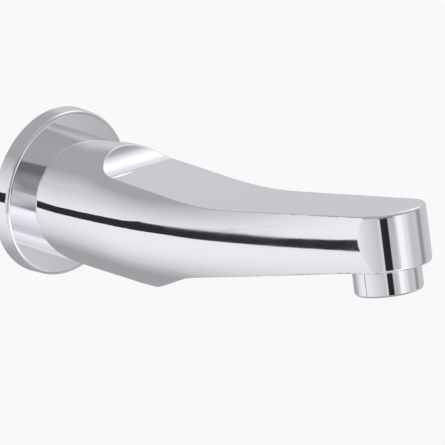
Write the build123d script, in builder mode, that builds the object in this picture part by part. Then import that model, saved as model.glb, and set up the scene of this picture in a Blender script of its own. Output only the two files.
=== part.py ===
from build123d import *
from math import cos, radians, sin, sqrt, tan
import os

os.makedirs("parts", exist_ok=True)

# The spout stands out of the wall along -Y. The wall face is the plane Y = 0, +Z is up
# and the origin is the middle of the inlet on the wall. Sizes are in millimetres.

# Wall flange
flange_d = 70.0
flange_thick = 7.5
flange_draft = 0.4
flange_edge_radius = 1.6
flange_wall = 1.8
flange_hole_clearance = 0.2

# Round rear part of the body
body_d = 52.0
neck_d = 39.0
top_swell = 0.75
swell_len = 14.0
round_end_y = -62.0
spigot_d = 33.0
spigot_len = 4.3

# Nose, which narrows in plan and rises towards its round end
nose_half_w = 18.3
nose_side_radius = 60.0
side_radius_power = 2.5
middle_rise_power = 1.8
nose_rise = 10.4
tip_y = -182.2
tip_top_z = 33.4

# Scoop in the top
valley_y = -60.0
valley_depth = 6.0
valley_fall = 0.03
scoop_rear_y = -51.0
scoop_rear_radius = 14.7
scoop_ramp_radius = 160.0

# Arch of the underside
keel_y = -71.0
keel_lift = 3.1
keel_slope = 0.56
belly_y = -120.0
belly_lift = 20.7
outlet_flat_y = -180.0
outlet_flat_z = 9.4
belly_radius = 120.0
flat_blend_radius = 120.0

# Rounded rims of the body
top_rim_radius = 1.4
low_rim_radius = 1.4

# Waterway inside the casting
wall = 3.6
chamber_rear_gap = 3.0
chamber_end_gap = 6.5

# Inlet nipple, which screws into the pipe in the wall
thread_d = 20.955
thread_len = 14.0
thread_relief_len = 2.5
thread_relief_depth = 1.3
nipple_d = 22.0
nipple_len = 30.0
nipple_bore_d = 12.4
nipple_chamfer = 0.8
key_across = 12.0
key_depth = 9.0
nipple_collar_d = 27.0
nipple_collar_thick = 1.8
nipple_washer_thick = 1.2
nipple_washer_clearance = 0.2
slide_clearance = 0.15

# O-rings round the nipple
front_ring_setback = 5.5
ring_spacing = 13.6
ring_section = 2.2
ring_clearance = 0.04
ring_groove_w = 2.8

# Grub screw, which locks the body on the nipple from below
grub_d = 5.0
grub_recess = 4.0
grub_key = 2.5
grub_key_depth = 2.6
grub_clearance = 0.05
lock_groove_depth = 1.0
lock_groove_w = 5.6

# Centring ring, O-ring and seal behind the flange
carrier_web = 1.6
carrier_thick = 3.6
carrier_hub_wall = 4.0
carrier_rim_wall = 3.0
carrier_clearance = 0.1
flange_ring_section = 1.8
flange_ring_y = -4.5
seal_w = 4.5

# Threaded outlet and its housing
outlet_thread_d = 24.0
thread_clearance = 0.08
seat_bore_d = 19.0
housing_d = 27.5
housing_drop = 10.3
housing_chamfer = 0.8
collar_clearance = 0.4
spot_face_depth = 4.0
sleeve_len = 6.0
housing_bore_d = 21.2
housing_lip_d = 19.4
housing_lip_thick = 1.0
washer_thick = 1.5
washer_clearance = 0.3

# Flow cartridge
cartridge_d = 20.4
cartridge_wall = 0.9
cartridge_rim_d = 23.2
cartridge_rim_thick = 1.0
ledge_w = 0.6
ledge_thick = 0.6
air_ports = 8
air_port_w = 2.4
air_port_h = 1.4
insert_clearance = 0.05
grid_len = 3.6
grid_cell = 1.6
grid_web = 0.3
grid_ring_w = 0.6
screen_thick = 0.5
screen_cell = 1.6
screen_web = 0.6
spacer_len = 1.2
spacer_w = 0.8
diffuser_thick = 1.6
diffuser_skirt = 1.4
jet_d = 1.1
jets = 16
jet_circle_d = 14.0
inner_jets = 8
inner_jet_circle_d = 8.0
regulator_thick = 2.0
regulator_hub_d = 6.0
regulator_hub_len = 1.6
regulator_port_d = 2.2
regulator_ports = 8
regulator_circle_d = 13.4
regulator_ring_section = 1.4
sieve_len = 4.6
sieve_wall = 0.5
sieve_cell = 1.4
sieve_web = 0.7


# Derived sizes
flange_r = flange_d / 2
face_y = -flange_thick
body_r = body_d / 2
neck_r = neck_d / 2
spigot_r = spigot_d / 2
spigot_end_y = face_y + spigot_len
dome_y = face_y - sqrt(body_r**2 - neck_r**2)
rise_sin = sin(radians(nose_rise))
rise_cos = cos(radians(nose_rise))
rise_tan = tan(radians(nose_rise))
beyond = 2 * body_r
valley_z = body_r - valley_depth
keel_z = keel_lift - body_r
belly_z = belly_lift - body_r
belly_slope = (outlet_flat_z - belly_z) / (belly_y - outlet_flat_y)
chamber_rear_y = -nipple_len - chamber_rear_gap
nipple_r = nipple_d / 2
socket_r = nipple_r + slide_clearance
nipple_bore_r = nipple_bore_d / 2
ring_floor_r = socket_r - ring_section - 2 * ring_clearance
front_ring_y = front_ring_setback - nipple_len
rear_ring_y = front_ring_y + ring_spacing
grub_y = (front_ring_y + rear_ring_y) / 2
grub_tip_z = lock_groove_depth - nipple_r
grub_end_z = grub_recess - body_r
collar_rear_y = -nipple_washer_thick
collar_front_y = collar_rear_y - nipple_collar_thick
flange_hole_r = spigot_r + flange_hole_clearance
flange_inner_y = face_y + flange_wall
flange_inner_r = flange_r - flange_wall - flange_draft
carrier_r = flange_inner_r - carrier_clearance
carrier_end_y = flange_inner_y + carrier_thick
hub_r = spigot_r + carrier_clearance

# Outlet stack, as heights above the underside of the nose along the outlet's axis
thread_r = outlet_thread_d / 2
housing_r = housing_d / 2
housing_bore_r = housing_bore_d / 2
cartridge_r = cartridge_d / 2
cartridge_bore_r = cartridge_r - cartridge_wall
insert_r = cartridge_bore_r - insert_clearance
seat_z = sleeve_len + cartridge_rim_thick + washer_thick
lip_z = housing_lip_thick - housing_drop
grid_z = lip_z + ledge_thick
lower_screen_z = grid_z + grid_len
upper_screen_z = lower_screen_z + screen_thick + spacer_len
diffuser_z = upper_screen_z + screen_thick
regulator_z = diffuser_z + diffuser_skirt + diffuser_thick
sieve_z = regulator_z + regulator_thick
regulator_ring_r = regulator_hub_d / 2 + ring_clearance + regulator_ring_section / 2
grid_count = 2 * int(insert_r / (grid_cell + grid_web)) + 5
grid_turn = 30

# Frames of the nose: its sloping top, and the outlet below it on the same axis
nose_top = Plane(origin=(0, tip_y, tip_top_z), x_dir=(1, 0, 0), z_dir=(0, rise_sin, rise_cos))
flat_z_at_tip = outlet_flat_z + rise_tan * (outlet_flat_y - tip_y)
tip_height = (tip_top_z - flat_z_at_tip) * rise_cos
outlet = nose_top.offset(-tip_height)
outlet_side = Plane(origin=outlet.origin, x_dir=(1, 0, 0), z_dir=(0, -rise_cos, rise_sin))
outlet_axis = Axis(outlet.origin, outlet.z_dir)


# Height of the valley of the scoop at a place along the body
def valley_at(y):
    return valley_z + valley_fall * (y - valley_y)


# Height of the rising top of the nose
def ramp_at(y):
    return tip_top_z - rise_tan * (y - tip_y)


# Height of the steep start of the underside
def keel_at(y):
    return keel_z - keel_slope * (y - keel_y)


# Height of the long middle of the underside
def belly_at(y):
    return belly_z - belly_slope * (y - belly_y)


# How far along the nose a place lies, from 0 at its root to 1 at the outlet
def along_nose(y):
    return max(0.0, (y - round_end_y) / (tip_y - round_end_y))


# How much the round body has grown towards its top since the dome
def swell(y):
    part = min(1.0, max(0.0, (dome_y - y) / swell_len))
    return top_swell * part**2 * (3 - 2 * part)


# Half the width of the body
def half_width(y):
    root = body_r + swell(y)
    return root + (nose_half_w - root) * along_nose(y)


# Radius of the upright curve of a side
def side_radius(y):
    root = body_r + swell(y)
    return root + (nose_side_radius - root) * along_nose(y) ** side_radius_power


# Height of the widest line of the sides
def middle_z(y):
    root = swell(y)
    return root + ((tip_top_z + flat_z_at_tip) / 2 - root) * along_nose(y) ** middle_rise_power


# Upright plane across the body
def across(y, z):
    return Plane(origin=(0, y, z), x_dir=(1, 0, 0), z_dir=(0, -1, 0))


# Edges between the chosen faces and the rest
def outline_of(faces):
    edges = [edge for face in faces for edge in face.edges()]
    return ShapeList([edge for edge in edges if sum(edge.is_same(other) for other in edges) == 1])


# Places of a square pattern that lie within a radius
def places_within(radius, pitch):
    count = 2 * int(radius / pitch) + 1
    grid = GridLocations(pitch, pitch, count, count)
    return [place for place in grid.local_locations if place.position.length <= radius]


valley_end_y = (valley_z - valley_fall * valley_y - tip_top_z - rise_tan * tip_y) / (
    -rise_tan - valley_fall
)
keel_end_y = (belly_z + belly_slope * belly_y - keel_z - keel_slope * keel_y) / (
    belly_slope - keel_slope
)
keel_start_z = -1.2 * body_r
keel_start_y = keel_y - (keel_start_z - keel_z) / keel_slope
scoop_centre = (
    scoop_rear_y - scoop_rear_radius * valley_fall,
    valley_at(scoop_rear_y) + scoop_rear_radius,
)
nose_end = tip_y - beyond

# Places of the sections that the body is drawn through
rear_steps = 5
nose_steps = 8
rear_sections = [
    dome_y + (round_end_y - dome_y) * step / rear_steps for step in range(rear_steps + 1)
]
nose_sections = [
    round_end_y + (nose_end + beyond / 2 - round_end_y) * step / nose_steps
    for step in range(1, nose_steps + 1)
]
core_steps = 8
core_sections = [
    chamber_rear_y + (tip_y + chamber_end_gap - chamber_rear_y) * step / core_steps
    for step in range(core_steps + 1)
]

# Spout body: a round rear that narrows to a rising nose, with a domed end at the flange
with BuildPart() as spout_body:
    with BuildSketch(Plane.XY):
        with BuildLine():
            Polyline((neck_r, face_y), (0, face_y), (0, dome_y), (body_r, dome_y))
            RadiusArc((body_r, dome_y), (neck_r, face_y), -body_r)
        make_face()
    revolve(axis=Axis.Y)
    for y in rear_sections + nose_sections:
        half = half_width(y)
        radius = side_radius(y)
        height = sqrt(radius**2 - (radius - half) ** 2)
        with BuildSketch(across(y, middle_z(y))):
            with BuildLine():
                ThreePointArc((0, height), (half, 0), (0, -height))
                ThreePointArc((0, -height), (-half, 0), (0, height))
            make_face()
    loft()

    # Round end of the nose
    with BuildSketch(nose_top):
        Circle(nose_half_w)
        with Locations((0, 3 * beyond)):
            Rectangle(2 * beyond, 6 * beyond)
    extrude(amount=3 * beyond, both=True, mode=Mode.INTERSECT)

    # Scooped top and arched underside
    with BuildSketch(Plane.YZ):
        with BuildLine():
            scoop_lip = (scoop_centre[0] + scoop_rear_radius, scoop_centre[1])
            scoop_foot = (scoop_rear_y, valley_at(scoop_rear_y))
            scoop_middle = (
                scoop_centre[0] + scoop_rear_radius * sin(radians(45)),
                scoop_centre[1] - scoop_rear_radius * cos(radians(45)),
            )
            nose_end_low = (nose_end, outlet_flat_z - rise_tan * (nose_end - outlet_flat_y))
            keel_start = (keel_start_y, keel_start_z)
            ThreePointArc(scoop_lip, scoop_middle, scoop_foot)
            FilletPolyline(
                scoop_foot,
                (valley_end_y, valley_at(valley_end_y)),
                (nose_end, ramp_at(nose_end)),
                radius=scoop_ramp_radius,
            )
            Line((nose_end, ramp_at(nose_end)), nose_end_low)
            FilletPolyline(
                nose_end_low,
                (outlet_flat_y, outlet_flat_z),
                (keel_end_y, belly_at(keel_end_y)),
                keel_start,
                radius=[flat_blend_radius, belly_radius],
            )
            Polyline(keel_start, (0, keel_start_z), (0, scoop_lip[1]), scoop_lip)
        make_face()
    extrude(amount=beyond, both=True, mode=Mode.INTERSECT)

    # Rounded rims
    flat_across = [
        face
        for face in spout_body.faces()
        if abs(face.normal_at().X) < 0.001 and face.geom_type != GeomType.BSPLINE
    ]
    top_faces = [face for face in flat_across if face.normal_at().Z > 0.5]
    fillet(outline_of(top_faces), radius=top_rim_radius)
    flat_across = [
        face
        for face in spout_body.faces()
        if abs(face.normal_at().X) < 0.001 and face.geom_type != GeomType.BSPLINE
    ]
    low_faces = [face for face in flat_across if face.normal_at().Z < -0.5]
    fillet(outline_of(low_faces), radius=low_rim_radius)

    # Spigot through the flange
    with BuildSketch(Plane.XZ.offset(-face_y)):
        Circle(spigot_r)
    extrude(amount=-spigot_len)

    # Hollow of the casting, a core that follows the outside
    for y in core_sections:
        roof = max(valley_at(y), ramp_at(y)) - wall
        floor = max(-body_r, min(keel_at(y), belly_at(y))) + wall
        with BuildSketch(across(y, (roof + floor) / 2)):
            Ellipse(half_width(y) - wall, (roof - floor) / 2)
    loft(mode=Mode.SUBTRACT)

    # Socket for the nipple
    with BuildSketch(Plane.XZ.offset(-chamber_rear_y - 1)):
        Circle(socket_r)
    extrude(amount=-(spigot_end_y - chamber_rear_y + 2), mode=Mode.SUBTRACT)

    # Flat face for the outlet's collar
    with BuildSketch(outlet):
        Circle(housing_r + collar_clearance)
    extrude(amount=-spot_face_depth, mode=Mode.SUBTRACT)

    # Threaded outlet, the seat of its washer and the way up into the hollow
    with BuildSketch(outlet):
        Circle(thread_r)
    extrude(amount=seat_z, mode=Mode.SUBTRACT)
    with BuildSketch(outlet):
        Circle(seat_bore_d / 2)
    extrude(amount=tip_height - wall, mode=Mode.SUBTRACT)

    # Tapped hole for the grub screw
    with BuildSketch(Plane.XY):
        with Locations((0, grub_y)):
            Circle(grub_d / 2)
    extrude(amount=-body_r, mode=Mode.SUBTRACT)

spout_body.part.label = "spout_body"
export_step(spout_body.part, "parts/spout_body.step")

# Wall flange: a chromed cap with a hollow back
with BuildPart() as wall_flange:
    with BuildSketch(Plane.XY):
        with BuildLine():
            Polyline(
                (flange_hole_r, face_y),
                (flange_r - flange_draft, face_y),
                (flange_r, 0),
                (flange_r - flange_wall, 0),
                (flange_inner_r, flange_inner_y),
                (flange_hole_r, flange_inner_y),
                close=True,
            )
        make_face()
    revolve(axis=Axis.Y)
    front_edges = wall_flange.edges().filter_by(GeomType.CIRCLE).sort_by(Axis.Y)[:2]
    fillet(front_edges.sort_by(SortBy.RADIUS)[-1], radius=flange_edge_radius)

wall_flange.part.label = "wall_flange"
export_step(wall_flange.part, "parts/wall_flange.step")

# Centring ring inside the flange, with a groove for its O-ring
with BuildPart() as flange_carrier:
    with BuildSketch(Plane.XY):
        with BuildLine():
            Polyline(
                (hub_r, flange_inner_y),
                (carrier_r, flange_inner_y),
                (carrier_r, carrier_end_y),
                (carrier_r - carrier_rim_wall, carrier_end_y),
                (carrier_r - carrier_rim_wall, flange_inner_y + carrier_web),
                (hub_r + carrier_hub_wall, flange_inner_y + carrier_web),
                (hub_r + carrier_hub_wall, carrier_end_y),
                (hub_r, carrier_end_y),
                close=True,
            )
        make_face()
        with Locations((spigot_r, flange_ring_y)):
            Rectangle(
                2 * (flange_ring_section + 2 * ring_clearance),
                flange_ring_section + 2 * ring_clearance,
                mode=Mode.SUBTRACT,
            )
    revolve(axis=Axis.Y)

flange_carrier.part.label = "flange_carrier"
export_step(flange_carrier.part, "parts/flange_carrier.step")

# O-ring that grips the spigot
with BuildPart() as flange_o_ring:
    with BuildSketch(Plane.XY):
        with Locations((spigot_r + ring_clearance + flange_ring_section / 2, flange_ring_y)):
            Circle(flange_ring_section / 2)
    revolve(axis=Axis.Y)

flange_o_ring.part.label = "flange_o_ring"
export_step(flange_o_ring.part, "parts/flange_o_ring.step")

# Soft seal between the flange and the wall
with BuildPart() as wall_seal:
    with BuildSketch(Plane.XZ.offset(-carrier_end_y)):
        Circle(carrier_r)
        Circle(carrier_r - seal_w, mode=Mode.SUBTRACT)
    extrude(amount=carrier_end_y)

wall_seal.part.label = "wall_seal"
export_step(wall_seal.part, "parts/wall_seal.step")

# Inlet nipple: pipe thread in the wall, collar on it and a grooved barrel in the body
with BuildPart() as inlet_nipple:
    with BuildSketch(Plane.XY):
        with BuildLine():
            Polyline(
                (nipple_bore_r, thread_len),
                (thread_d / 2 - nipple_chamfer, thread_len),
                (thread_d / 2, thread_len - nipple_chamfer),
                (thread_d / 2, thread_relief_len),
                (thread_d / 2 - thread_relief_depth, thread_relief_len),
                (thread_d / 2 - thread_relief_depth, collar_rear_y),
                (nipple_collar_d / 2, collar_rear_y),
                (nipple_collar_d / 2, collar_front_y),
                (nipple_r, collar_front_y),
                (nipple_r, nipple_chamfer - nipple_len),
                (nipple_r - nipple_chamfer, -nipple_len),
                (nipple_bore_r, -nipple_len),
                close=True,
            )
        make_face()
        with Locations((nipple_r, front_ring_y), (nipple_r, rear_ring_y)):
            Rectangle(2 * (nipple_r - ring_floor_r), ring_groove_w, mode=Mode.SUBTRACT)
        with Locations((nipple_r, grub_y)):
            Rectangle(2 * lock_groove_depth, lock_groove_w, mode=Mode.SUBTRACT)
    revolve(axis=Axis.Y)
    with BuildSketch(Plane.XZ.offset(nipple_len)):
        RegularPolygon(key_across / 2, 6, major_radius=False)
    extrude(amount=-key_depth, mode=Mode.SUBTRACT)

inlet_nipple.part.label = "inlet_nipple"
export_step(inlet_nipple.part, "parts/inlet_nipple.step")

# Washer between the collar of the nipple and the mouth of the pipe, flush with the wall
with BuildPart() as nipple_washer:
    with BuildSketch(Plane.XZ):
        Circle(nipple_collar_d / 2)
        Circle(thread_d / 2 + nipple_washer_clearance, mode=Mode.SUBTRACT)
    extrude(amount=nipple_washer_thick)

nipple_washer.part.label = "nipple_washer"
export_step(nipple_washer.part, "parts/nipple_washer.step")

# Front O-ring of the nipple
with BuildPart() as nipple_ring_front:
    with BuildSketch(Plane.XY):
        with Locations((socket_r - ring_clearance - ring_section / 2, front_ring_y)):
            Circle(ring_section / 2)
    revolve(axis=Axis.Y)

nipple_ring_front.part.label = "nipple_ring_front"
export_step(nipple_ring_front.part, "parts/nipple_ring_front.step")

# Rear O-ring of the nipple
with BuildPart() as nipple_ring_rear:
    with BuildSketch(Plane.XY):
        with Locations((socket_r - ring_clearance - ring_section / 2, rear_ring_y)):
            Circle(ring_section / 2)
    revolve(axis=Axis.Y)

nipple_ring_rear.part.label = "nipple_ring_rear"
export_step(nipple_ring_rear.part, "parts/nipple_ring_rear.step")

# Grub screw with a hexagon socket
with BuildPart() as grub_screw:
    with BuildSketch(Plane.XY.offset(grub_tip_z)):
        with Locations((0, grub_y)):
            Circle(grub_d / 2 - grub_clearance)
    extrude(amount=grub_end_z - grub_tip_z)
    with BuildSketch(Plane.XY.offset(grub_end_z)):
        with Locations((0, grub_y)):
            RegularPolygon(grub_key / 2, 6, major_radius=False)
    extrude(amount=grub_key_depth, mode=Mode.SUBTRACT)

grub_screw.part.label = "grub_screw"
export_step(grub_screw.part, "parts/grub_screw.step")

# Outlet housing: the collar in view below the nose and its threaded sleeve
with BuildPart() as aerator_housing:
    with BuildSketch(outlet_side):
        with BuildLine():
            Polyline(
                (housing_bore_r, sleeve_len),
                (thread_r - thread_clearance, sleeve_len),
                (thread_r - thread_clearance, 0),
                (housing_r, 0),
                (housing_r, housing_chamfer - housing_drop),
                (housing_r - housing_chamfer, -housing_drop),
                (housing_lip_d / 2, -housing_drop),
                (housing_lip_d / 2, lip_z),
                (housing_bore_r, lip_z),
                close=True,
            )
        make_face()
    revolve(axis=outlet_axis)

aerator_housing.part.label = "aerator_housing"
export_step(aerator_housing.part, "parts/aerator_housing.step")

# Rubber washer between the cartridge and its seat in the body
with BuildPart() as outlet_washer:
    with BuildSketch(outlet.offset(seat_z - washer_thick)):
        Circle(thread_r - washer_clearance)
        Circle(insert_r, mode=Mode.SUBTRACT)
    extrude(amount=washer_thick)

outlet_washer.part.label = "outlet_washer"
export_step(outlet_washer.part, "parts/outlet_washer.step")

# Cartridge: a sleeve with a rim on top, a ledge below and ports that draw in air
with BuildPart() as cartridge_body:
    with BuildSketch(outlet_side):
        with BuildLine():
            Polyline(
                (cartridge_bore_r, sleeve_len + cartridge_rim_thick),
                (cartridge_rim_d / 2, sleeve_len + cartridge_rim_thick),
                (cartridge_rim_d / 2, sleeve_len),
                (cartridge_r, sleeve_len),
                (cartridge_r, lip_z),
                (cartridge_bore_r - ledge_w, lip_z),
                (cartridge_bore_r - ledge_w, grid_z),
                (cartridge_bore_r, grid_z),
                close=True,
            )
        make_face()
    revolve(axis=outlet_axis)
    with BuildSketch(outlet.offset(lower_screen_z + screen_thick + spacer_len / 2 - air_port_h / 2)):
        with PolarLocations(cartridge_bore_r, air_ports):
            Rectangle(2 * cartridge_wall + 1, air_port_w)
    extrude(amount=air_port_h, mode=Mode.SUBTRACT)

cartridge_body.part.label = "cartridge_body"
export_step(cartridge_body.part, "parts/cartridge_body.step")

# Honeycomb grid that straightens the stream
with BuildPart() as stream_grid:
    with BuildSketch(outlet.offset(grid_z)):
        Circle(insert_r)
        with HexLocations(grid_cell / 2 + grid_web / 2, grid_count, grid_count, major_radius=False):
            RegularPolygon(grid_cell / 2, 6, major_radius=False, rotation=grid_turn, mode=Mode.SUBTRACT)
    extrude(amount=grid_len)
    with BuildSketch(outlet.offset(grid_z)):
        Circle(insert_r)
        Circle(insert_r - grid_ring_w, mode=Mode.SUBTRACT)
    extrude(amount=grid_len)

stream_grid.part.label = "stream_grid"
export_step(stream_grid.part, "parts/stream_grid.step")

# Lower mixing screen
with BuildPart() as screen_lower:
    with BuildSketch(outlet.offset(lower_screen_z)):
        Circle(insert_r)
        with Locations(places_within(insert_r - screen_cell, screen_cell + screen_web)):
            Rectangle(screen_cell, screen_cell, mode=Mode.SUBTRACT)
    extrude(amount=screen_thick)

screen_lower.part.label = "screen_lower"
export_step(screen_lower.part, "parts/screen_lower.step")

# Ring that keeps the screens apart
with BuildPart() as screen_spacer:
    with BuildSketch(outlet.offset(lower_screen_z + screen_thick)):
        Circle(insert_r)
        Circle(insert_r - spacer_w, mode=Mode.SUBTRACT)
    extrude(amount=spacer_len)

screen_spacer.part.label = "screen_spacer"
export_step(screen_spacer.part, "parts/screen_spacer.step")

# Upper mixing screen
with BuildPart() as screen_upper:
    with BuildSketch(outlet.offset(upper_screen_z)):
        Circle(insert_r)
        with Locations(places_within(insert_r - screen_cell, screen_cell + screen_web)):
            Rectangle(screen_cell, screen_cell, mode=Mode.SUBTRACT)
    extrude(amount=screen_thick)

screen_upper.part.label = "screen_upper"
export_step(screen_upper.part, "parts/screen_upper.step")

# Diffuser: a plate with jets above a short skirt
with BuildPart() as diffuser:
    with BuildSketch(outlet.offset(diffuser_z)):
        Circle(insert_r)
        Circle(insert_r - spacer_w, mode=Mode.SUBTRACT)
    extrude(amount=diffuser_skirt)
    with BuildSketch(outlet.offset(diffuser_z + diffuser_skirt)):
        Circle(insert_r)
        with PolarLocations(jet_circle_d / 2, jets):
            Circle(jet_d / 2, mode=Mode.SUBTRACT)
        with PolarLocations(inner_jet_circle_d / 2, inner_jets):
            Circle(jet_d / 2, mode=Mode.SUBTRACT)
    extrude(amount=diffuser_thick)

diffuser.part.label = "diffuser"
export_step(diffuser.part, "parts/diffuser.step")

# Flow regulator: a disc with ports round a hub
with BuildPart() as flow_regulator:
    with BuildSketch(outlet.offset(regulator_z)):
        Circle(insert_r)
        with PolarLocations(regulator_circle_d / 2, regulator_ports):
            Circle(regulator_port_d / 2, mode=Mode.SUBTRACT)
    extrude(amount=regulator_thick)
    with BuildSketch(outlet.offset(sieve_z)):
        Circle(regulator_hub_d / 2)
    extrude(amount=regulator_hub_len)

flow_regulator.part.label = "flow_regulator"
export_step(flow_regulator.part, "parts/flow_regulator.step")

# Rubber ring round the hub of the regulator
with BuildPart() as regulator_ring:
    with BuildSketch(outlet_side):
        with Locations((regulator_ring_r, sieve_z + regulator_ring_section / 2)):
            Circle(regulator_ring_section / 2)
    revolve(axis=outlet_axis)

regulator_ring.part.label = "regulator_ring"
export_step(regulator_ring.part, "parts/regulator_ring.step")

# Sieve over the regulator, a perforated cap
with BuildPart() as inlet_sieve:
    with BuildSketch(outlet.offset(sieve_z)):
        Circle(insert_r)
    extrude(amount=sieve_len)
    with BuildSketch(outlet.offset(sieve_z)):
        Circle(insert_r - sieve_wall)
    extrude(amount=sieve_len - sieve_wall, mode=Mode.SUBTRACT)
    with BuildSketch(outlet.offset(sieve_z + sieve_len - sieve_wall)):
        with Locations(places_within(insert_r - sieve_wall - sieve_cell, sieve_cell + sieve_web)):
            Rectangle(sieve_cell, sieve_cell)
    extrude(amount=sieve_wall, mode=Mode.SUBTRACT)

inlet_sieve.part.label = "inlet_sieve"
export_step(inlet_sieve.part, "parts/inlet_sieve.step")
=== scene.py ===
import math

import bpy
from mathutils import Matrix, Vector


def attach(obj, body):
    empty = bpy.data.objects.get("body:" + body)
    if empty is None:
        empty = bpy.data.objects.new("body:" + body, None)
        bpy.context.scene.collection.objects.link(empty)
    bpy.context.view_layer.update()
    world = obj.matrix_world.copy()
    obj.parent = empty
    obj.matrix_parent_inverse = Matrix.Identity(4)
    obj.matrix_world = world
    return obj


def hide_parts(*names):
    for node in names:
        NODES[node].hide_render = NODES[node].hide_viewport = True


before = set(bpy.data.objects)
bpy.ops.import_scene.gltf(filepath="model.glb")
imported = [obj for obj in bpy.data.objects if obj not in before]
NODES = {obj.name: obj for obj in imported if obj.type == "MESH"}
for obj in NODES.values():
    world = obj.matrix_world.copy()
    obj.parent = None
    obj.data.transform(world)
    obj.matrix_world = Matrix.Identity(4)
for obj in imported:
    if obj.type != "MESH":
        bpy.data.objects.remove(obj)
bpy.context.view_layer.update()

bl_info = {
    "name": "Bath Spout",
    "version": (1, 0, 0),
    "blender": (4, 5, 0),
    "location": "3D View > Sidebar > Bath Spout",
    "description": "Dresses a wall-mounted bath spout in chrome, brass, plastic and rubber",
    "category": "Object",
}

MM = 0.001


# Settings that a user would change
class SpoutFinishes(bpy.types.PropertyGroup):
    chrome_colour: bpy.props.FloatVectorProperty(
        name="Chrome", description="Colour that the chrome reflects",
        default=(0.945, 0.945, 0.97), size=3, min=0.0, max=1.0, subtype="COLOR")
    chrome_roughness: bpy.props.FloatProperty(
        name="Chrome roughness", description="Roughness of the polished chrome",
        default=0.035, min=0.0, max=1.0, subtype="FACTOR")
    brass_colour: bpy.props.FloatVectorProperty(
        name="Brass", description="Colour of the turned brass",
        default=(0.78, 0.57, 0.28), size=3, min=0.0, max=1.0, subtype="COLOR")
    steel_colour: bpy.props.FloatVectorProperty(
        name="Steel", description="Colour of the stainless steel",
        default=(0.56, 0.56, 0.55), size=3, min=0.0, max=1.0, subtype="COLOR")
    rubber_colour: bpy.props.FloatVectorProperty(
        name="Rubber", description="Colour of the black rubber",
        default=(0.025, 0.025, 0.027), size=3, min=0.0, max=1.0, subtype="COLOR")
    plastic_colour: bpy.props.FloatVectorProperty(
        name="White plastic", description="Colour of the moulded plastic",
        default=(0.72, 0.72, 0.69), size=3, min=0.0, max=1.0, subtype="COLOR")
    grid_colour: bpy.props.FloatVectorProperty(
        name="Grid plastic", description="Colour of the honeycomb grid",
        default=(0.42, 0.44, 0.46), size=3, min=0.0, max=1.0, subtype="COLOR")
    foam_colour: bpy.props.FloatVectorProperty(
        name="Foam", description="Colour of the soft seal on the wall",
        default=(0.10, 0.10, 0.105), size=3, min=0.0, max=1.0, subtype="COLOR")
    fibre_colour: bpy.props.FloatVectorProperty(
        name="Fibre", description="Colour of the pressed fibre washer",
        default=(0.34, 0.06, 0.045), size=3, min=0.0, max=1.0, subtype="COLOR")


class SpoutForm(bpy.types.PropertyGroup):
    body_radius: bpy.props.FloatProperty(
        name="Body", description="Radius of the round rear in millimetres", default=26.0)
    face: bpy.props.FloatProperty(
        name="Flange face", description="Place of the flange's face along Y in millimetres",
        default=-7.5)
    spigot_radius: bpy.props.FloatProperty(
        name="Spigot", description="Radius of the spigot through the flange in millimetres",
        default=16.5)
    spigot_length: bpy.props.FloatProperty(
        name="Spigot length", description="Length of the spigot in millimetres", default=4.3)
    grub_hole: bpy.props.FloatProperty(
        name="Tapped hole", description="Radius of the hole for the grub screw in millimetres",
        default=2.5)
    grub_place: bpy.props.FloatProperty(
        name="Tapped hole place", description="Place of that hole along Y in millimetres",
        default=-17.7)
    swell_start: bpy.props.FloatProperty(
        name="Swell start", description="Where the body starts to grow upward in millimetres",
        default=-24.6965)
    swell_length: bpy.props.FloatProperty(
        name="Swell length", description="Length over which it grows in millimetres", default=14.0)
    swell: bpy.props.FloatProperty(
        name="Swell", description="How much it grows in millimetres", default=0.75)
    round_end: bpy.props.FloatProperty(
        name="Round end", description="Where the round rear ends in millimetres", default=-62.0)
    nose_half_width: bpy.props.FloatProperty(
        name="Nose", description="Half the width of the nose in millimetres", default=18.3)
    nose_side_radius: bpy.props.FloatProperty(
        name="Nose sides", description="Radius of the nose's sides in millimetres", default=60.0)
    nose_rise: bpy.props.FloatProperty(
        name="Nose rise", description="Rise of the nose",
        default=math.radians(10.4), subtype="ANGLE")
    tip: bpy.props.FloatVectorProperty(
        name="Tip", description="Place of the tip along Y and Z in millimetres",
        default=(-182.2, 33.4), size=2)
    tip_middle: bpy.props.FloatProperty(
        name="Tip middle", description="Height of the middle of the tip in millimetres",
        default=21.602)
    valley: bpy.props.FloatVectorProperty(
        name="Valley", description="Place of the scoop's valley along Y and Z in millimetres",
        default=(-60.0, 20.0), size=2)
    valley_fall: bpy.props.FloatProperty(
        name="Valley fall", description="Slope of the valley", default=0.03)
    ramp_radius: bpy.props.FloatProperty(
        name="Ramp", description="Radius between the valley and the nose in millimetres",
        default=160.0)
    scoop_middle: bpy.props.FloatVectorProperty(
        name="Scoop", description="Middle of the scoop's round along Y and Z in millimetres",
        default=(-51.441, 34.97), size=2)
    scoop_radius: bpy.props.FloatProperty(
        name="Scoop radius", description="Radius of the scoop's round in millimetres",
        default=14.7)
    thread_pitch: bpy.props.FloatProperty(
        name="Thread pitch", description="Pitch of the half-inch pipe thread in millimetres",
        default=1.814)
    thread_radius: bpy.props.FloatProperty(
        name="Thread", description="Outer radius of that thread in millimetres", default=10.4775)
    thread_depth: bpy.props.FloatProperty(
        name="Thread depth", description="Depth of that thread in millimetres", default=1.162)
    thread_start: bpy.props.FloatProperty(
        name="Thread start", description="Where that thread runs out along Y in millimetres",
        default=1.6)


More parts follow.
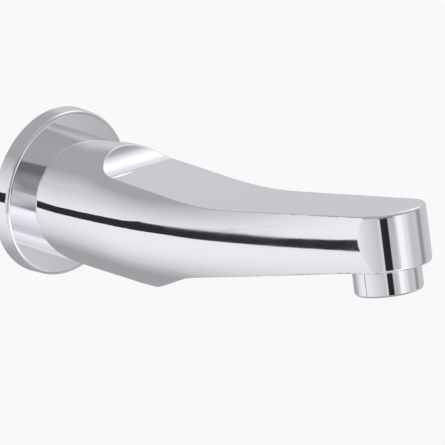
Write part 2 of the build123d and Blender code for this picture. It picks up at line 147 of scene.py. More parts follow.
class SpoutStudio(bpy.types.PropertyGroup):
    azimuth: bpy.props.FloatProperty(
        name="Azimuth", description="Turn of the camera round the spout",
        default=math.radians(45.46), subtype="ANGLE")
    elevation: bpy.props.FloatProperty(
        name="Elevation", description="Height of the camera above the horizon",
        default=math.radians(18.0), subtype="ANGLE")
    camera_place: bpy.props.FloatVectorProperty(
        name="Camera", description="Place of the camera",
        default=(-1.6322473, -1.7027269, 0.7516437), size=3, subtype="XYZ", unit="LENGTH")
    lens: bpy.props.FloatProperty(
        name="Lens", description="Focal length in millimetres on a 36 mm sensor",
        default=485.39, min=1.0)
    floor_height: bpy.props.FloatProperty(
        name="Floor", description="Height of the floor below the spout",
        default=-1.25, subtype="DISTANCE", unit="LENGTH")
    tent_place: bpy.props.FloatVectorProperty(
        name="Tent", description="Middle of the light tent that the chrome reflects",
        default=(0.0, -0.19, 0.02), size=3, subtype="XYZ", unit="LENGTH")
    tent_radius: bpy.props.FloatProperty(
        name="Tent radius", description="Radius of the light tent",
        default=1.15, subtype="DISTANCE", unit="LENGTH")
    stripe_place: bpy.props.FloatProperty(
        name="Stripe card", description="Where the dark card stands beside the spout, along X",
        default=-0.4, subtype="DISTANCE", unit="LENGTH")


# Shared helpers
def clear_selection():
    if bpy.context.object and bpy.context.object.mode != "OBJECT":
        bpy.ops.object.mode_set(mode="OBJECT")
    bpy.ops.object.select_all(action="DESELECT")


def pick(piece):
    clear_selection()
    piece.select_set(True)
    bpy.context.view_layer.objects.active = piece


def new_material(name):
    material = bpy.data.materials.new(name)
    material.use_nodes = True
    return material, material.node_tree, material.node_tree.nodes["Principled BSDF"]


def noise_at(tree, scale, detail=3.0, stretch=(1.0, 1.0, 1.0)):
    coordinates = tree.nodes.new("ShaderNodeTexCoord")
    mapping = tree.nodes.new("ShaderNodeMapping")
    mapping.inputs["Scale"].default_value = stretch
    noise = tree.nodes.new("ShaderNodeTexNoise")
    noise.inputs["Scale"].default_value = scale
    noise.inputs["Detail"].default_value = detail
    tree.links.new(coordinates.outputs["Object"], mapping.inputs["Vector"])
    tree.links.new(mapping.outputs["Vector"], noise.inputs["Vector"])
    return noise


# The part of a noise's range over which a finish changes
NOISE_LOW = 0.35
NOISE_HIGH = 0.65


def varied_roughness(tree, shader, source, low, high):
    spread = tree.nodes.new("ShaderNodeMapRange")
    spread.inputs["From Min"].default_value = NOISE_LOW
    spread.inputs["From Max"].default_value = NOISE_HIGH
    spread.inputs["To Min"].default_value = low
    spread.inputs["To Max"].default_value = high
    tree.links.new(source, spread.inputs["Value"])
    tree.links.new(spread.outputs["Result"], shader.inputs["Roughness"])


def varied_colour(tree, shader, source, dark, light):
    ramp = tree.nodes.new("ShaderNodeValToRGB")
    ramp.color_ramp.elements[0].position = NOISE_LOW
    ramp.color_ramp.elements[1].position = NOISE_HIGH
    ramp.color_ramp.elements[0].color = (*dark, 1.0)
    ramp.color_ramp.elements[1].color = (*light, 1.0)
    tree.links.new(source, ramp.inputs["Fac"])
    tree.links.new(ramp.outputs["Color"], shader.inputs["Base Color"])


def bumped(tree, shader, source, strength, distance):
    bump = tree.nodes.new("ShaderNodeBump")
    bump.inputs["Strength"].default_value = strength
    bump.inputs["Distance"].default_value = distance
    tree.links.new(source, bump.inputs["Height"])
    tree.links.new(bump.outputs["Normal"], shader.inputs["Normal"])


def shaded(colour, share):
    return tuple(channel * share for channel in colour)


# Finishes
def chrome(name, finishes):
    material, tree, shader = new_material(name)
    shader.inputs["Metallic"].default_value = 1.0
    haze = noise_at(tree, scale=60.0, detail=4.0)
    varied_roughness(tree, shader, haze.outputs["Fac"],
                     low=finishes.chrome_roughness * 0.8, high=finishes.chrome_roughness * 1.3)
    tint = noise_at(tree, scale=18.0, detail=2.0)
    varied_colour(tree, shader, tint.outputs["Fac"],
                  dark=shaded(finishes.chrome_colour, 0.985), light=finishes.chrome_colour)
    return material


def turned_metal(name, colour, roughness, ring_scale):
    material, tree, shader = new_material(name)
    shader.inputs["Metallic"].default_value = 1.0
    rings = noise_at(tree, scale=40.0, stretch=(0.4, ring_scale, 0.4))
    varied_roughness(tree, shader, rings.outputs["Fac"],
                     low=roughness * 0.7, high=roughness * 1.4)
    patina = noise_at(tree, scale=90.0, detail=5.0)
    varied_colour(tree, shader, patina.outputs["Fac"], dark=shaded(colour, 0.82), light=colour)
    bumped(tree, shader, rings.outputs["Fac"], strength=0.25, distance=0.00005)
    return material


def moulded(name, colour, roughness, grain_scale, grain):
    material, tree, shader = new_material(name)
    speckle = noise_at(tree, scale=grain_scale, detail=5.0)
    varied_roughness(tree, shader, speckle.outputs["Fac"],
                     low=roughness * 0.85, high=roughness * 1.15)
    varied_colour(tree, shader, speckle.outputs["Fac"], dark=shaded(colour, 0.9), light=colour)
    bumped(tree, shader, speckle.outputs["Fac"], strength=grain, distance=0.00008)
    return material


def cover(piece, material):
    piece.data.materials.clear()
    piece.data.materials.append(material)


def dress(node_names, material):
    for name in node_names:
        cover(NODES[name], material)


# Surfaces of the cast body, in millimetres: each gives how far a point lies outside it, or
# NO_SURFACE where it doesn't reach
NO_SURFACE = 1000.0

# How late along the nose the sides take their radius and the middle its height, as powers
RADIUS_DELAY = 2.5
MIDDLE_DELAY = 1.8

# How far past its own end the round of the tip and of the scoop is followed, in millimetres
TIP_OVERLAP = 0.5
SCOOP_OVERLAP = 1.0


def swell(form, y):
    part = min(1.0, max(0.0, (form.swell_start - y) / form.swell_length))
    return form.swell * part**2 * (3 - 2 * part)


def side_gap(form, x, y, z):
    root = form.body_radius + swell(form, y)
    along = max(0.0, (y - form.round_end) / (form.tip[0] - form.round_end))
    if along == 0.0:
        return math.hypot(x, z - swell(form, y)) - root
    half = root + (form.nose_half_width - root) * along
    radius = root + (form.nose_side_radius - root) * along**RADIUS_DELAY
    middle = swell(form, y) + (form.tip_middle - swell(form, y)) * along**MIDDLE_DELAY
    return abs(x) - half + radius - math.sqrt(max(0.0, radius**2 - (z - middle) ** 2))


def tip_gap(form, x, y, z):
    rise, lean = math.cos(form.nose_rise), math.sin(form.nose_rise)
    forward = (form.tip[0] - y) * rise + (z - form.tip[1]) * lean
    if forward < -TIP_OVERLAP:
        return NO_SURFACE
    return math.hypot(x, forward) - form.nose_half_width


# The top runs down the valley, round the ramp and up the nose
def top_height(form, y):
    fall, climb = form.valley_fall, -math.tan(form.nose_rise)
    valley = form.valley[1] + fall * (y - form.valley[0])
    nose = form.tip[1] + climb * (y - form.tip[0])
    valley_foot = form.valley[1] - fall * form.valley[0]
    meet = (valley_foot - form.tip[1] + climb * form.tip[0]) / (climb - fall)
    reach = form.ramp_radius * math.tan((math.atan(fall) - math.atan(climb)) / 2)
    start = meet + reach * math.cos(math.atan(fall))
    end = meet - reach * math.cos(math.atan(climb))
    if y >= start:
        return valley
    if y <= end:
        return nose
    middle_y = start - form.ramp_radius * math.sin(math.atan(fall))
    start_z = form.valley[1] + fall * (start - form.valley[0])
    middle_z = start_z + form.ramp_radius * math.cos(math.atan(fall))
    return middle_z - math.sqrt(form.ramp_radius**2 - (y - middle_y) ** 2)


def top_gap(form, x, y, z):
    return z - top_height(form, y) if y < form.scoop_middle[0] else NO_SURFACE


def scoop_gap(form, x, y, z):
    if y < form.scoop_middle[0] - SCOOP_OVERLAP:
        return NO_SURFACE
    return form.scoop_radius - math.hypot(y - form.scoop_middle[0], z - form.scoop_middle[1])


# Each surface, with how near to it a point counts as on it
SURFACES = ((tip_gap, 0.03), (top_gap, 0.03), (scoop_gap, 0.03), (side_gap, 0.3))

# Reach over which a surface's direction is read, in millimetres, and the longer one for the
# run of the sides, so that it bends without a kink
SHORT_REACH = 0.02
LONG_REACH = 12.0

# How well a surface's direction agrees with a face's and a corner's own to be taken, as a cosine
FACE_AGREES = 0.96
CORNER_AGREES = 0.8


def outward(gap, form, point):
    reach = (SHORT_REACH, LONG_REACH if gap is side_gap else SHORT_REACH, SHORT_REACH)
    slope = []
    for axis, step in enumerate(reach):
        ahead, behind = list(point), list(point)
        ahead[axis] += step
        behind[axis] -= step
        slope.append((gap(form, *ahead) - gap(form, *behind)) / step)
    return Vector(slope).normalized()


# Give each corner the direction of the true surface there, so that the mirror finish runs clean
def true_normals(mesh, form):
    places = [vertex.co / MM for vertex in mesh.vertices]
    near = [[gap for gap, play in SURFACES if abs(gap(form, *place)) < play] for place in places]
    known = {}
    corners = [None] * len(mesh.loops)
    for face in mesh.polygons:
        middle = face.center / MM
        shared = [gap for gap, _ in SURFACES
                  if all(gap in near[corner] for corner in face.vertices)
                  and outward(gap, form, middle).dot(face.normal) > FACE_AGREES]
        for loop in face.loop_indices:
            corner = mesh.loops[loop].vertex_index
            best = mesh.corner_normals[loop].vector.copy()
            found = []
            for gap in shared[:1] or near[corner]:
                if (corner, gap) not in known:
                    known[corner, gap] = outward(gap, form, places[corner])
                found.append(known[corner, gap])
            found = [normal for normal in found if normal.dot(best) > CORNER_AGREES]
            if found:
                best = max(found, key=face.normal.dot)
            corners[loop] = best
    mesh.normals_split_custom_set(corners)


# Distance within which the loose points of a CAD mesh are merged, in metres
MERGE_DISTANCE = 0.000002

# How near to a plane across the spout a point counts as on it, in metres
ON_PLANE = 0.00001

# Faces that meet at less than this are shaded smooth
SMOOTH_ANGLE = math.radians(30)


def edit_all():
    bpy.ops.object.mode_set(mode="EDIT")
    bpy.ops.mesh.select_all(action="SELECT")


def leave_facing_out():
    bpy.ops.mesh.select_all(action="SELECT")
    bpy.ops.mesh.normals_make_consistent(inside=False)
    bpy.ops.object.mode_set(mode="OBJECT")


# A copy of a node's mesh to work on, with its loose triangles merged
def merged_copy(node, name):
    piece = bpy.data.objects.new(name, NODES[node].data.copy())
    bpy.context.scene.collection.objects.link(piece)
    pick(piece)
    edit_all()
    bpy.ops.mesh.customdata_custom_splitnormals_clear()
    bpy.ops.mesh.remove_doubles(threshold=MERGE_DISTANCE)
    bpy.ops.object.mode_set(mode="OBJECT")
    return piece


def cut_away(piece, cutter):
    pick(piece)
    cut = piece.modifiers.new("cut", "BOOLEAN")
    cut.operation = "DIFFERENCE"
    cut.solver = "EXACT"
    cut.object = cutter
    bpy.ops.object.modifier_apply(modifier=cut.name)
    bpy.data.objects.remove(cutter)


# A ring is a place along Y and the two radii that it lies between
def on_ring(place, ring):
    y, inner, outer = ring
    return abs(place.y - y) < ON_PLANE and inner < math.hypot(place.x, place.z) < outer


def select_rings(mesh, *rings):
    bpy.ops.mesh.select_all(action="DESELECT")
    bpy.ops.object.mode_set(mode="OBJECT")
    for edge in mesh.edges:
        ends = [mesh.vertices[vertex].co for vertex in edge.vertices]
        edge.select = all(any(on_ring(end, ring) for ring in rings) for end in ends)
    if not any(edge.select for edge in mesh.edges):
        raise RuntimeError(f"no edge of {mesh.name} lies on the rings {rings}")
    bpy.ops.object.mode_set(mode="EDIT")


def cut_across(y, clear_outer=False):
    bpy.ops.mesh.select_all(action="SELECT")
    bpy.ops.mesh.bisect(plane_co=(0, y, 0), plane_no=(0, 1, 0), clear_outer=clear_outer)


def extrude_along(distance):
    bpy.ops.mesh.extrude_edges_move(TRANSFORM_OT_translate={"value": (0, distance, 0)})


# Planes that shorten the long facets of the body, and how far apart they are in millimetres
STATIONS = 25
STATION_STEP = 6

# The bore lies within this share of the body's radius, and the outer ring beyond it
BORE_SHARE = 0.8

# Length of the drill for the tapped hole, and how far its middle stands inside the body's lowest
# line, in metres
DRILL_LENGTH = 0.02
DRILL_INSIDE = 0.004


class SPOUT_OT_cast_body(bpy.types.Operator):
    """Model the chromed skin of the body: straight up to the flange, with clean surfaces"""
    bl_idname = "spout.cast_body"
    bl_label = "Cast body"

    def execute(self, context):
        form = context.scene.spout_form
        rear = form.swell_start * MM
        face = form.face * MM
        end = face + form.spigot_length * MM
        radius = form.body_radius * MM
        bore = BORE_SHARE * radius
        narrow = form.spigot_radius * MM / radius
        skin = merged_copy("spout_body", "cast_body")
        edit_all()
        cut_across(rear, clear_outer=True)
        for station in range(1, STATIONS + 1):
            cut_across(rear - STATION_STEP * station * MM)
        select_rings(skin.data, (rear, bore, math.inf))
        extrude_along(face - rear)
        bpy.ops.mesh.extrude_edges_move()
        bpy.ops.transform.resize(value=(narrow, 1, narrow), center_override=(0, face, 0))
        extrude_along(form.spigot_length * MM)
        select_rings(skin.data, (end, 0.0, math.inf), (rear, 0.0, bore))
        bpy.ops.mesh.bridge_edge_loops()
        leave_facing_out()
        bpy.ops.mesh.primitive_cylinder_add(
            vertices=64, radius=form.grub_hole * MM, depth=DRILL_LENGTH,
            location=(0, form.grub_place * MM, DRILL_INSIDE - radius))
        cut_away(skin, context.object)
        bpy.ops.object.shade_smooth_by_angle(angle=SMOOTH_ANGLE)
        true_normals(skin.data, form)
        cover(skin, chrome("polished_body_chrome", context.scene.spout_finishes))
        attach(skin, "root")
        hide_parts("spout_body")
        return {"FINISHED"}


# Groove of the thread: half its width at the mouth and on its floor as shares of the pitch, and
# how far the mouth stands clear of the crest in millimetres
MOUTH_SHARE = 0.507
FLOOR_SHARE = 0.07
MOUTH_CLEARANCE = 0.27
THREAD_TURNS = 8
STEPS_PER_TURN = 48


# The groove's section wound into a closed helix
def thread_cutter(form):
    clear_selection()
    bpy.ops.mesh.primitive_plane_add(size=1.0)
    cutter = bpy.context.object
    mouth = form.thread_radius + MOUTH_CLEARANCE
    floor = form.thread_radius - form.thread_depth
    for corner in cutter.data.vertices:
        outer = corner.co.x > 0
        half = form.thread_pitch * (MOUTH_SHARE if outer else FLOOR_SHARE)
        side = half if corner.co.y > 0 else -half
        corner.co = (MM * (mouth if outer else floor), MM * (form.thread_start + side), 0)
    edit_all()
    bpy.ops.mesh.delete(type="ONLY_FACE")
    bpy.ops.object.mode_set(mode="OBJECT")
    turns = cutter.modifiers.new("turns", "SCREW")
    turns.axis = "Y"
    turns.screw_offset = form.thread_pitch * MM
    turns.iterations = THREAD_TURNS
    turns.steps = turns.render_steps = STEPS_PER_TURN
    bpy.ops.object.modifier_apply(modifier=turns.name)
    edit_all()
    bpy.ops.mesh.fill_holes(sides=4)
    leave_facing_out()
    return cutter


class SPOUT_OT_threaded_nipple(bpy.types.Operator):
    """Cut the pipe thread on the brass nipple as a helical groove"""
    bl_idname = "spout.threaded_nipple"
    bl_label = "Threaded nipple"

    def execute(self, context):
        brass = context.scene.spout_finishes.brass_colour
        nipple = merged_copy("inlet_nipple", "threaded_nipple")
        cut_away(nipple, thread_cutter(context.scene.spout_form))
        bpy.ops.object.shade_smooth_by_angle(angle=SMOOTH_ANGLE)
        cover(nipple, turned_metal("turned_brass", brass, roughness=0.26, ring_scale=60.0))
        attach(nipple, "root")
        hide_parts("inlet_nipple")
        return {"FINISHED"}


class SPOUT_OT_chromed_pieces(bpy.types.Operator):
    """Give the flange and the outlet's collar their chrome"""
    bl_idname = "spout.chromed_pieces"
    bl_label = "Chromed pieces"

    def execute(self, context):
        finishes = context.scene.spout_finishes
        dress(["wall_flange"], chrome("polished_flange_chrome", finishes))
        dress(["aerator_housing"], chrome("polished_outlet_chrome", finishes))
        return {"FINISHED"}


class SPOUT_OT_metal_fittings(bpy.types.Operator):
    """Give the grub screw and the screens their steel"""
    bl_idname = "spout.metal_fittings"
    bl_label = "Metal fittings"

    def execute(self, context):
        finishes = context.scene.spout_finishes
        steel = finishes.steel_colour
        dress(["grub_screw"],
              turned_metal("hardened_steel", steel, roughness=0.34, ring_scale=30.0))
        dress(["screen_lower", "screen_upper"],
              turned_metal("woven_steel", steel, roughness=0.3, ring_scale=20.0))
        return {"FINISHED"}


class SPOUT_OT_seals(bpy.types.Operator):
    """Give the rings, washers and the wall seal their rubber, fibre and foam"""
    bl_idname = "spout.seals"
    bl_label = "Seals"

    def execute(self, context):
        finishes = context.scene.spout_finishes
        rubber = moulded("black_rubber", finishes.rubber_colour,
                         roughness=0.55, grain_scale=900.0, grain=0.3)
        foam = moulded("soft_foam", finishes.foam_colour,
                       roughness=0.85, grain_scale=1400.0, grain=0.9)
        fibre = moulded("pressed_fibre", finishes.fibre_colour,
                        roughness=0.8, grain_scale=1100.0, grain=0.7)
        dress(["flange_o_ring", "nipple_ring_front", "nipple_ring_rear",
               "outlet_washer", "regulator_ring"], rubber)
        dress(["wall_seal"], foam)
        dress(["nipple_washer"], fibre)
        return {"FINISHED"}


class SPOUT_OT_plastic_pieces(bpy.types.Operator):
    """Give the carrier, the cartridge and the grid their moulded plastics"""
    bl_idname = "spout.plastic_pieces"
    bl_label = "Plastic pieces"

    def execute(self, context):
        finishes = context.scene.spout_finishes
        white = moulded("white_plastic", finishes.plastic_colour,
                        roughness=0.42, grain_scale=700.0, grain=0.2)
        grey = moulded("grid_plastic", finishes.grid_colour,
                       roughness=0.38, grain_scale=800.0, grain=0.2)
        dress(["flange_carrier", "cartridge_body", "screen_spacer", "diffuser",
               "flow_regulator", "inlet_sieve"], white)
        dress(["stream_grid"], grey)
        return {"FINISHED"}


# Stage: each of these adds a node to a tree and gives the socket that it puts out
def wired(tree, kind, operation, *sources, output=0):
    node = tree.nodes.new(kind)
    node.operation = operation
    for socket, source in enumerate(sources):
        if isinstance(source, bpy.types.NodeSocket):
            tree.links.new(source, node.inputs[socket])
        else:
            node.inputs[socket].default_value = source
    return node.outputs[output]


def worked_out(tree, operation, *sources):
    return wired(tree, "ShaderNodeMath", operation, *sources)


def brighter(tree, one, other):
    return worked_out(tree, "MAXIMUM", one, other)


def product(tree, one, other):
    return worked_out(tree, "MULTIPLY", one, other)


def mixed(tree, share, one, other):
    mix = tree.nodes.new("ShaderNodeMix")
    mix.data_type = "FLOAT"
    tree.links.new(share, mix.inputs[0])
    tree.links.new(one, mix.inputs[2])
    tree.links.new(other, mix.inputs[3])
    return mix.outputs[0]


# Greys at given places of a measure that runs from first to last
def grey_ramp(tree, source, stops, first, last):
    ramp = tree.nodes.new("ShaderNodeValToRGB")
    marks = ramp.color_ramp.elements
    marks.remove(marks[1])
    for count, (place, grey) in enumerate(stops):
        share = (place - first) / (last - first)
        mark = marks[0] if count == 0 else marks.new(share)
        mark.position = share
        mark.color = (grey, grey, grey, 1.0)
    spread = worked_out(tree, "SUBTRACT", source, first)
    tree.links.new(worked_out(tree, "DIVIDE", spread, last - first), ramp.inputs["Fac"])
    return ramp.outputs["Color"]


def by_azimuth(tree, azimuth, stops):
    return grey_ramp(tree, azimuth, stops, -180, 180)


def by_elevation(tree, elevation, stops):
    return grey_ramp(tree, elevation, stops, -90, 90)


def bearing(azimuth, elevation):
    turn, rise = math.radians(azimuth), math.radians(elevation)
    return (math.sin(turn) * math.cos(rise), math.cos(turn) * math.cos(rise), math.sin(rise))


# A soft box in the tent, with its brightness by the angle from its middle
def softbox(tree, ray, azimuth, elevation, stops):
    facing = wired(tree, "ShaderNodeVectorMath", "DOT_PRODUCT", ray, bearing(azimuth, elevation),
                   output="Value")
    angle = worked_out(tree, "ARCCOSINE", facing)
    rings = [(math.radians(place), grey) for place, grey in stops]
    return grey_ramp(tree, angle, rings, 0.0, math.pi)


def stage_glow(name, colour):
    material = bpy.data.materials.new(name)
    material.use_nodes = True
    tree = material.node_tree
    tree.nodes.clear()
    glow = tree.nodes.new("ShaderNodeEmission")
    glow.inputs["Color"].default_value = (*colour, 1.0)
    output = tree.nodes.new("ShaderNodeOutputMaterial")
    tree.links.new(glow.outputs["Emission"], output.inputs["Surface"])
    return material, tree, glow


def only_in_reflections(card):
    card.visible_camera = False
    card.visible_diffuse = False
    card.visible_shadow = False
    card.visible_volume_scatter = False


# Light tent round the spout, which is what the chrome reflects. Its brightness goes by direction
# in degrees: azimuth 0 is the wall's side and 180 the nose's. First the cloth by elevation
TENT_CLOTH = (
    (-90, 0.42), (-50, 0.38), (-25, 0.38), (-8, 0.60), (20, 0.64), (32, 0.40), (60, 0.42),
    (90, 0.55))

# Soft boxes: beside the spout, above it, and the one that the foot of the scoop shows
SOFT_BOXES = (
    (-50, -14, ((0, 0.92), (10, 0.90), (17, 0.86), (24, 0.78), (33, 0.66), (41, 0.50),
                (50, 0.38), (80, 0.2))),
    (70, 43, ((0, 1.25), (7, 1.12), (15, 0.92), (21, 0.75), (28, 0.50), (35, 0.40), (60, 0.2))),
    (51, 29, ((0, 0.88), (5, 0.84), (8, 0.72), (11, 0.62), (15, 0.40), (60, 0.2))),
)

# The cloth in front of the spout, by azimuth, and where it takes the place of the rest
FRONT_CLOTH = (
    (-180, 1.0), (-174.5, 1.0), (-170.5, 0.72), (-165, 0.56), (-152, 0.50), (-140, 0.62),
    (-132, 0.78), (-125, 0.58), (-106, 0.68), (-90, 0.76), (-75, 0.86), (-60, 0.88), (60, 0.62),
    (85, 0.60), (108, 0.55), (115, 0.32), (124, 0.32), (131, 0.60), (137, 0.60), (146, 0.56),
    (155, 0.60), (160, 0.76), (170, 0.85), (174.5, 1.0), (180, 1.0))
FRONT_ACROSS = ((-66, 1.0), (-56, 0.0), (56, 0.0), (64, 1.0))
FRONT_UPWARD = ((-65, 0.0), (-45, 1.0), (18, 1.0), (30, 0.0))

# Darker places by azimuth and by elevation, where 1 leaves the cloth as it is: the band that
# shows as the stripe on the nose and the outlet, the dim patch above it and the dim bar below it
DARK_BAND = (
    ((-180, 1.0), (-151.6, 1.0), (-150.6, 0.0), (-133.2, 0.0), (-132, 1.0), (180, 1.0)),
    ((-90, 1.0), (-13, 1.0), (-8, 0.0), (1, 0.0), (5, 1.0), (90, 1.0)))
BAND_GREY = 0.04
DIM_PATCH = (
    ((-180, 1.0), (-166, 1.0), (-158, 0.0), (-129, 0.0), (-124, 1.0), (180, 1.0)),
    ((-90, 1.0), (-1, 1.0), (2, 0.55), (10, 0.42), (41, 0.40), (43, 1.0), (90, 1.0)))
DIM_BAR = (
    ((-180, 1.0), (-142, 1.0), (-138, 0.0), (-131, 0.0), (-127, 1.0), (180, 1.0)),
    ((-90, 1.0), (-23, 1.0), (-21, 0.42), (-14, 0.42), (-11, 0.8), (-8, 1.0), (90, 1.0)))

# Brighter cloth low in front, as what it adds by azimuth and by elevation
LIFT_ACROSS = ((-180, 0.38), (-125, 0.38), (-110, 0.0), (120, 0.0), (140, 0.38), (180, 0.38))
LIFT_UPWARD = ((-90, 0.0), (-78, 0.6), (-50, 1.0), (-25, 1.0), (-22, 0.0), (90, 0.0))


def tent_directions(tree):
    coordinates = tree.nodes.new("ShaderNodeTexCoord")
    ray = wired(tree, "ShaderNodeVectorMath", "NORMALIZE", coordinates.outputs["Object"])
    parts = tree.nodes.new("ShaderNodeSeparateXYZ")
    tree.links.new(ray, parts.inputs["Vector"])
    turn = worked_out(tree, "ARCTAN2", parts.outputs["X"], parts.outputs["Y"])
    rise = worked_out(tree, "ARCSINE", parts.outputs["Z"])
    return ray, worked_out(tree, "DEGREES", turn), worked_out(tree, "DEGREES", rise)


def tent_cloth(tree, ray, azimuth, elevation):
    walls = by_elevation(tree, elevation, TENT_CLOTH)
    for box_azimuth, box_elevation, stops in SOFT_BOXES:
        walls = brighter(tree, walls, softbox(tree, ray, box_azimuth, box_elevation, stops))
    in_front = product(tree, by_azimuth(tree, azimuth, FRONT_ACROSS),
                       by_elevation(tree, elevation, FRONT_UPWARD))
    return mixed(tree, in_front, walls, by_azimuth(tree, azimuth, FRONT_CLOTH))


def darkened(tree, azimuth, elevation, across, upward):
    return brighter(tree, by_azimuth(tree, azimuth, across), by_elevation(tree, elevation, upward))


def tent_shades(tree, azimuth, elevation):
    shades = brighter(tree, darkened(tree, azimuth, elevation, *DARK_BAND), BAND_GREY)
    for place in (DIM_PATCH, DIM_BAR):
        shades = product(tree, shades, darkened(tree, azimuth, elevation, *place))
    lift = product(tree, by_azimuth(tree, azimuth, LIFT_ACROSS),
                   by_elevation(tree, elevation, LIFT_UPWARD))
    return product(tree, shades, worked_out(tree, "ADD", 1.0, lift))


def light_tent(studio):
    clear_selection()
    bpy.ops.mesh.primitive_uv_sphere_add(
        segments=64, ring_count=32, radius=studio.tent_radius, location=studio.tent_place)
    tent = bpy.context.object
    tent.name = "light_tent"
    only_in_reflections(tent)
    material, tree, glow = stage_glow("tent_cloth", (0.96, 0.96, 1.0))
    ray, azimuth, elevation = tent_directions(tree)
    cloth = tent_cloth(tree, ray, azimuth, elevation)
    strength = product(tree, cloth, tent_shades(tree, azimuth, elevation))
    tree.links.new(strength, glow.inputs["Strength"])
    tent.data.materials.append(material)


# Dark card whose reflection is the long stripe on the side, as (Y, Z) along its outline
STRIPE_OUTLINE = (
    (0.600, -0.150), (0.388, -0.124), (0.358, -0.111), (0.306, -0.088), (0.260, -0.063),
    (0.223, -0.045), (0.196, -0.039), (0.192, -0.034), (0.188, -0.033), (0.182, -0.040),
    (0.175, -0.048), (0.166, -0.057), (0.156, -0.070), (0.144, -0.086), (0.135, -0.098),
    (0.125, -0.112), (0.115, -0.125), (0.105, -0.137), (0.097, -0.147), (0.084, -0.162),
    (0.068, -0.180), (0.079, -0.112), (0.094, -0.097), (0.102, -0.091), (0.120, -0.070),
    (0.143, -0.042), (0.164, -0.011), (0.178, 0.012), (0.191, 0.033), (0.201, 0.051),
    (0.206, 0.062), (0.209, 0.067), (0.213, 0.061), (0.219, 0.050), (0.232, 0.037),
    (0.258, 0.021), (0.299, -0.002), (0.349, -0.024), (0.380, -0.036), (0.600, -0.055),
)


def stripe_card(studio):
    clear_selection()
    outline = bpy.data.curves.new("stripe_card", "CURVE")
    outline.dimensions = "2D"
    outline.fill_mode = "BOTH"
    edge = outline.splines.new("POLY")
    edge.points.add(len(STRIPE_OUTLINE) - 1)
    for point, (along, height) in zip(edge.points, STRIPE_OUTLINE):
        point.co = (along, height, 0.0, 1.0)
    edge.use_cyclic_u = True
    card = bpy.data.objects.new("stripe_card", outline)
    bpy.context.scene.collection.objects.link(card)
    card.location = (studio.stripe_place, 0.0, 0.0)
    card.rotation_euler = (math.pi / 2, 0.0, math.pi / 2)
    only_in_reflections(card)
    outline.materials.append(stage_glow("black_card", (0.026, 0.026, 0.033))[0])


# Greys of the world: the one that lights the spout, and the paler one that the camera and the
# chrome see
WORLD_LIGHT = (0.85, 0.85, 0.85, 1.0)
WORLD_SEEN = (0.94, 0.94, 0.94, 1.0)


def studio_world():
    world = bpy.data.worlds.new("studio_world")
    bpy.context.scene.world = world
    world.use_nodes = True
    tree = world.node_tree
    tree.nodes.clear()
    seen = tree.nodes.new("ShaderNodeLightPath")
    shown = brighter(tree, seen.outputs["Is Camera Ray"], seen.outputs["Is Glossy Ray"])
    shown = brighter(tree, shown, seen.outputs["Is Transmission Ray"])
    backdrop = tree.nodes.new("ShaderNodeBackground")
    backdrop.inputs["Color"].default_value = WORLD_SEEN
    glow = tree.nodes.new("ShaderNodeBackground")
    glow.inputs["Color"].default_value = WORLD_LIGHT
    mix = tree.nodes.new("ShaderNodeMixShader")
    output = tree.nodes.new("ShaderNodeOutputWorld")
    tree.links.new(shown, mix.inputs["Fac"])
    tree.links.new(glow.outputs["Background"], mix.inputs[1])
    tree.links.new(backdrop.outputs["Background"], mix.inputs[2])
    tree.links.new(mix.outputs["Shader"], output.inputs["Surface"])


def pale_floor(studio):
    clear_selection()
    bpy.ops.mesh.primitive_plane_add(size=24.0, location=(0.0, 0.0, studio.floor_height))
    floor = bpy.context.object
    floor.name = "pale_floor"
    material, tree, shader = new_material("floor_paint")
    shader.inputs["Roughness"].default_value = 0.9
    shader.inputs["Specular IOR Level"].default_value = 0.0
    grain = noise_at(tree, scale=3.0, detail=2.0)
    varied_colour(tree, shader, grain.outputs["Fac"],
                  dark=(0.94, 0.94, 0.94), light=(0.95, 0.95, 0.95))
    floor.data.materials.append(material)


# One soft lamp from above, which leaves no highlight of its own on the chrome
def soft_lamp():
    clear_selection()
    bpy.ops.object.light_add(type="SUN", rotation=(math.radians(25), math.radians(-20), 0.0))
    lamp = bpy.context.object
    lamp.name = "soft_lamp"
    lamp.data.angle = math.radians(50)
    lamp.data.energy = 0.55
    lamp.visible_glossy = False


# The camera at the photo's viewing angle
def photo_camera(studio):
    azimuth, elevation = studio.azimuth, studio.elevation
    look = Vector((math.sin(azimuth) * math.cos(elevation),
                   math.cos(azimuth) * math.cos(elevation), -math.sin(elevation)))
    right = Vector((math.cos(azimuth), -math.sin(azimuth), 0.0))
    up = right.cross(look)
    bpy.ops.object.camera_add()
    camera = bpy.context.object
    camera.name = "photo_camera"
    turn = Matrix((right, up, -look)).transposed()
    camera.matrix_world = Matrix.Translation(studio.camera_place) @ turn.to_4x4()
    camera.data.sensor_width = 36.0
    camera.data.lens = studio.lens
    camera.data.clip_start = 0.1
    camera.data.clip_end = 20.0
    bpy.context.scene.camera = camera


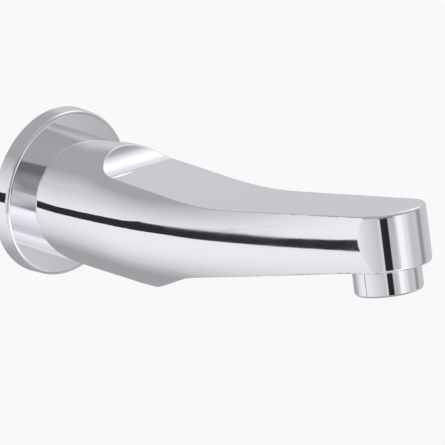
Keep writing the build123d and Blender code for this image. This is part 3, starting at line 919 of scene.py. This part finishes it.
class SPOUT_OT_stage(bpy.types.Operator):
    """Build the world, the pale floor, the lamp, the tent with its dark card, and the camera"""
    bl_idname = "spout.stage"
    bl_label = "Stage"

    def execute(self, context):
        studio = context.scene.spout_studio
        studio_world()
        pale_floor(studio)
        soft_lamp()
        light_tent(studio)
        stripe_card(studio)
        clear_selection()
        photo_camera(studio)
        context.scene.view_settings.view_transform = "Standard"
        return {"FINISHED"}


class SPOUT_PT_sidebar(bpy.types.Panel):
    bl_idname = "SPOUT_PT_sidebar"
    bl_label = "Bath Spout"
    bl_space_type = "VIEW_3D"
    bl_region_type = "UI"
    bl_category = "Bath Spout"

    def draw(self, context):
        scene = context.scene
        for group in (scene.spout_form, scene.spout_finishes, scene.spout_studio):
            for setting in group.bl_rna.properties:
                if not setting.is_readonly and setting.identifier != "name":
                    self.layout.prop(group, setting.identifier)
        for operator in OPERATORS:
            self.layout.operator(operator.bl_idname)


OPERATORS = (
    SPOUT_OT_cast_body,
    SPOUT_OT_threaded_nipple,
    SPOUT_OT_chromed_pieces,
    SPOUT_OT_metal_fittings,
    SPOUT_OT_seals,
    SPOUT_OT_plastic_pieces,
    SPOUT_OT_stage,
)
CLASSES = (SpoutForm, SpoutFinishes, SpoutStudio, *OPERATORS, SPOUT_PT_sidebar)


def register():
    for each in CLASSES:
        bpy.utils.register_class(each)
    bpy.types.Scene.spout_form = bpy.props.PointerProperty(type=SpoutForm)
    bpy.types.Scene.spout_finishes = bpy.props.PointerProperty(type=SpoutFinishes)
    bpy.types.Scene.spout_studio = bpy.props.PointerProperty(type=SpoutStudio)


def unregister():
    del bpy.types.Scene.spout_studio
    del bpy.types.Scene.spout_finishes
    del bpy.types.Scene.spout_form
    for each in reversed(CLASSES):
        bpy.utils.unregister_class(each)


def main():
    register()
    bpy.ops.spout.cast_body()
    bpy.ops.spout.threaded_nipple()
    bpy.ops.spout.chromed_pieces()
    bpy.ops.spout.metal_fittings()
    bpy.ops.spout.seals()
    bpy.ops.spout.plastic_pieces()
    bpy.ops.spout.stage()


if __name__ == "__main__":
    main()
